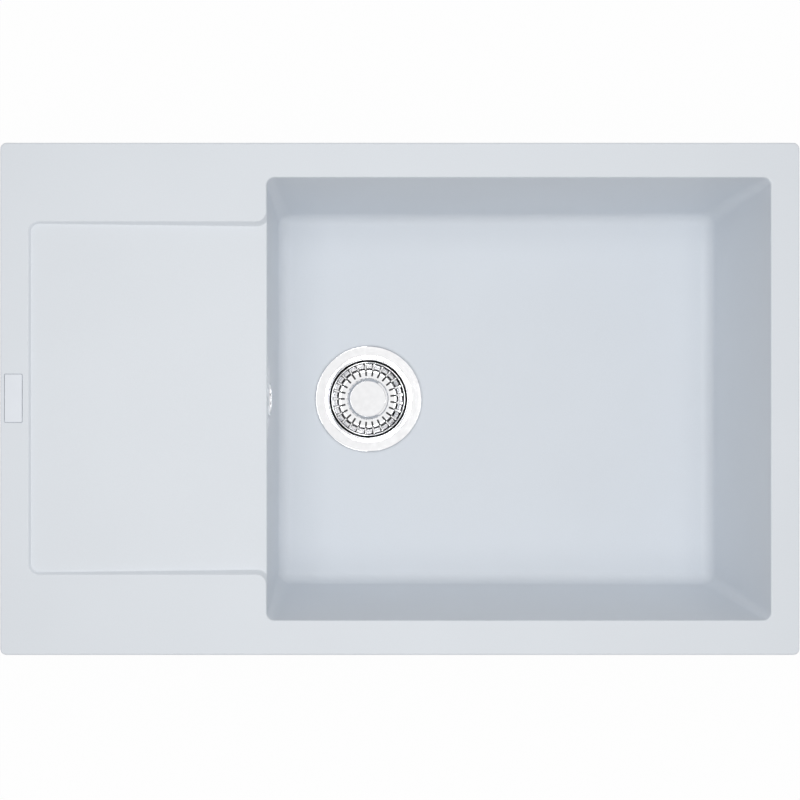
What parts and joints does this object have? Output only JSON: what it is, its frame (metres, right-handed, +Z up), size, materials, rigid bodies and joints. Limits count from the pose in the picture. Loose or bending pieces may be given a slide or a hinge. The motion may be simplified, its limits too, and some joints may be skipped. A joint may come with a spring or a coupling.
{
  "type": "kitchen sink with drainboard",
  "caption": "White cast inset kitchen sink with a large bowl right, a drainboard left, a basket strainer, an overflow and fixing clips under the rim.",
  "frame": {"origin": "centre of the worktop cut-out, on the worktop's top face, which is the rim's underside", "axes": "+X towards the bowl's end, with the drainboard at -X; +Y towards the wall behind; +Z up"},
  "size_m": [0.78, 0.5, 0.2943],
  "materials": {
    "cast_white": "matte cast mineral composite, pigmented through",
    "plate_white": "satin, bare",
    "steel_polished": "polished stainless steel",
    "steel_plain": "plain stainless steel",
    "rubber_black": "matte",
    "foam_grey": "matte closed-cell foam",
    "plastic_white": "moulded polypropylene",
    "plastic_grey": "moulded nylon",
    "brass_insert": "machined"
  },
  "bodies": {
    "sink": {"sink_body": "cast_white", "rim_seal": "foam_grey", "badge_plate": "plate_white", "strainer_flange": "steel_polished", "flange_seal": "rubber_black", "waste_gasket": "rubber_black", "waste_body": "plastic_white", "waste_insert": "brass_insert", "waste_screw": "steel_plain", "overflow_rosette": "steel_polished", "overflow_screw": "steel_plain", "overflow_gasket": "rubber_black", "overflow_housing": "plastic_white", "overflow_pipe": "plastic_white", "overflow_upper_nut": "plastic_white", "overflow_upper_ring": "rubber_black", "overflow_lower_nut": "plastic_white", "overflow_lower_ring": "rubber_black", "clip_dowels": "plastic_grey"},
    "basket": {"basket_cup": "steel_polished", "basket_knob": "steel_polished", "basket_stem": "steel_plain", "basket_seal": "rubber_black", "basket_washer": "steel_plain", "basket_nut": "steel_plain"},
    "clip_1_carriage": {"clip_washer_1": "steel_plain"},
    "clip_1_screw": {"clip_screw_1": "steel_plain"},
    "clip_1_claw": {"clip_claw_1": "steel_plain"},
    "clip_2_carriage": {"clip_washer_2": "steel_plain"},
    "clip_2_screw": {"clip_screw_2": "steel_plain"},
    "clip_2_claw": {"clip_claw_2": "steel_plain"},
    "clip_3_carriage": {"clip_washer_3": "steel_plain"},
    "clip_3_screw": {"clip_screw_3": "steel_plain"},
    "clip_3_claw": {"clip_claw_3": "steel_plain"},
    "clip_4_carriage": {"clip_washer_4": "steel_plain"},
    "clip_4_screw": {"clip_screw_4": "steel_plain"},
    "clip_4_claw": {"clip_claw_4": "steel_plain"},
    "clip_5_carriage": {"clip_washer_5": "steel_plain"},
    "clip_5_screw": {"clip_screw_5": "steel_plain"},
    "clip_5_claw": {"clip_claw_5": "steel_plain"},
    "clip_6_carriage": {"clip_washer_6": "steel_plain"},
    "clip_6_screw": {"clip_screw_6": "steel_plain"},
    "clip_6_claw": {"clip_claw_6": "steel_plain"},
    "clip_7_carriage": {"clip_washer_7": "steel_plain"},
    "clip_7_screw": {"clip_screw_7": "steel_plain"},
    "clip_7_claw": {"clip_claw_7": "steel_plain"},
    "clip_8_carriage": {"clip_washer_8": "steel_plain"},
    "clip_8_screw": {"clip_screw_8": "steel_plain"},
    "clip_8_claw": {"clip_claw_8": "steel_plain"}
  },
  "joints": [
    {"name": "basket_lift", "type": "slide", "parent": "sink", "child": "basket", "axis": [0, 0, 1], "range_m": [0, 0.25]},
    {"name": "clip_1_rise", "type": "slide", "parent": "sink", "child": "clip_1_carriage", "axis": [0, 0, 1], "range_m": [0, 0.013]},
    {"name": "clip_1_turn", "type": "hinge", "parent": "clip_1_carriage", "child": "clip_1_screw", "pos_m": [-0.275, -0.231, -0.05405], "axis": [0, 0, 1], "range_deg": [0, 2925]},
    {"name": "clip_1_swing", "type": "hinge", "parent": "clip_1_carriage", "child": "clip_1_claw", "pos_m": [-0.275, -0.231, -0.0525], "axis": [0, 0, 1], "range_deg": [0, 90]},
    {"name": "clip_2_rise", "type": "slide", "parent": "sink", "child": "clip_2_carriage", "axis": [0, 0, 1], "range_m": [0, 0.013]},
    {"name": "clip_2_turn", "type": "hinge", "parent": "clip_2_carriage", "child": "clip_2_screw", "pos_m": [0.025, -0.231, -0.05405], "axis": [0, 0, 1], "range_deg": [0, 2925]},
    {"name": "clip_2_swing", "type": "hinge", "parent": "clip_2_carriage", "child": "clip_2_claw", "pos_m": [0.025, -0.231, -0.0525], "axis": [0, 0, 1], "range_deg": [0, 90]},
    {"name": "clip_3_rise", "type": "slide", "parent": "sink", "child": "clip_3_carriage", "axis": [0, 0, 1], "range_m": [0, 0.013]},
    {"name": "clip_3_turn", "type": "hinge", "parent": "clip_3_carriage", "child": "clip_3_screw", "pos_m": [0.325, -0.231, -0.05405], "axis": [0, 0, 1], "range_deg": [0, 2925]},
    {"name": "clip_3_swing", "type": "hinge", "parent": "clip_3_carriage", "child": "clip_3_claw", "pos_m": [0.325, -0.231, -0.0525], "axis": [0, 0, 1], "range_deg": [0, 90]},
    {"name": "clip_4_rise", "type": "slide", "parent": "sink", "child": "clip_4_carriage", "axis": [0, 0, 1], "range_m": [0, 0.013]},
    {"name": "clip_4_turn", "type": "hinge", "parent": "clip_4_carriage", "child": "clip_4_screw", "pos_m": [-0.275, 0.231, -0.05405], "axis": [0, 0, 1], "range_deg": [0, 2925]},
    {"name": "clip_4_swing", "type": "hinge", "parent": "clip_4_carriage", "child": "clip_4_claw", "pos_m": [-0.275, 0.231, -0.0525], "axis": [0, 0, 1], "range_deg": [0, 90]},
    {"name": "clip_5_rise", "type": "slide", "parent": "sink", "child": "clip_5_carriage", "axis": [0, 0, 1], "range_m": [0, 0.013]},
    {"name": "clip_5_turn", "type": "hinge", "parent": "clip_5_carriage", "child": "clip_5_screw", "pos_m": [0.025, 0.231, -0.05405], "axis": [0, 0, 1], "range_deg": [0, 2925]},
    {"name": "clip_5_swing", "type": "hinge", "parent": "clip_5_carriage", "child": "clip_5_claw", "pos_m": [0.025, 0.231, -0.0525], "axis": [0, 0, 1], "range_deg": [0, 90]},
    {"name": "clip_6_rise", "type": "slide", "parent": "sink", "child": "clip_6_carriage", "axis": [0, 0, 1], "range_m": [0, 0.013]},
    {"name": "clip_6_turn", "type": "hinge", "parent": "clip_6_carriage", "child": "clip_6_screw", "pos_m": [0.325, 0.231, -0.05405], "axis": [0, 0, 1], "range_deg": [0, 2925]},
    {"name": "clip_6_swing", "type": "hinge", "parent": "clip_6_carriage", "child": "clip_6_claw", "pos_m": [0.325, 0.231, -0.0525], "axis": [0, 0, 1], "range_deg": [0, 90]},
    {"name": "clip_7_rise", "type": "slide", "parent": "sink", "child": "clip_7_carriage", "axis": [0, 0, 1], "range_m": [0, 0.013]},
    {"name": "clip_7_turn", "type": "hinge", "parent": "clip_7_carriage", "child": "clip_7_screw", "pos_m": [-0.371, -0.11, -0.05405], "axis": [0, 0, 1], "range_deg": [0, 2925]},
    {"name": "clip_7_swing", "type": "hinge", "parent": "clip_7_carriage", "child": "clip_7_claw", "pos_m": [-0.371, -0.11, -0.0525], "axis": [0, 0, 1], "range_deg": [0, 90]},
    {"name": "clip_8_rise", "type": "slide", "parent": "sink", "child": "clip_8_carriage", "axis": [0, 0, 1], "range_m": [0, 0.013]},
    {"name": "clip_8_turn", "type": "hinge", "parent": "clip_8_carriage", "child": "clip_8_screw", "pos_m": [-0.371, 0.11, -0.05405], "axis": [0, 0, 1], "range_deg": [0, 2925]},
    {"name": "clip_8_swing", "type": "hinge", "parent": "clip_8_carriage", "child": "clip_8_claw", "pos_m": [-0.371, 0.11, -0.0525], "axis": [0, 0, 1], "range_deg": [0, 90]}
  ],
  "couplings": [
    {"joint": "clip_1_turn", "follows": "clip_1_rise", "rad_per_m": 3927},
    {"joint": "clip_2_turn", "follows": "clip_2_rise", "rad_per_m": 3927},
    {"joint": "clip_3_turn", "follows": "clip_3_rise", "rad_per_m": 3927},
    {"joint": "clip_4_turn", "follows": "clip_4_rise", "rad_per_m": 3927},
    {"joint": "clip_5_turn", "follows": "clip_5_rise", "rad_per_m": 3927},
    {"joint": "clip_6_turn", "follows": "clip_6_rise", "rad_per_m": 3927},
    {"joint": "clip_7_turn", "follows": "clip_7_rise", "rad_per_m": 3927},
    {"joint": "clip_8_turn", "follows": "clip_8_rise", "rad_per_m": 3927}
  ]
}
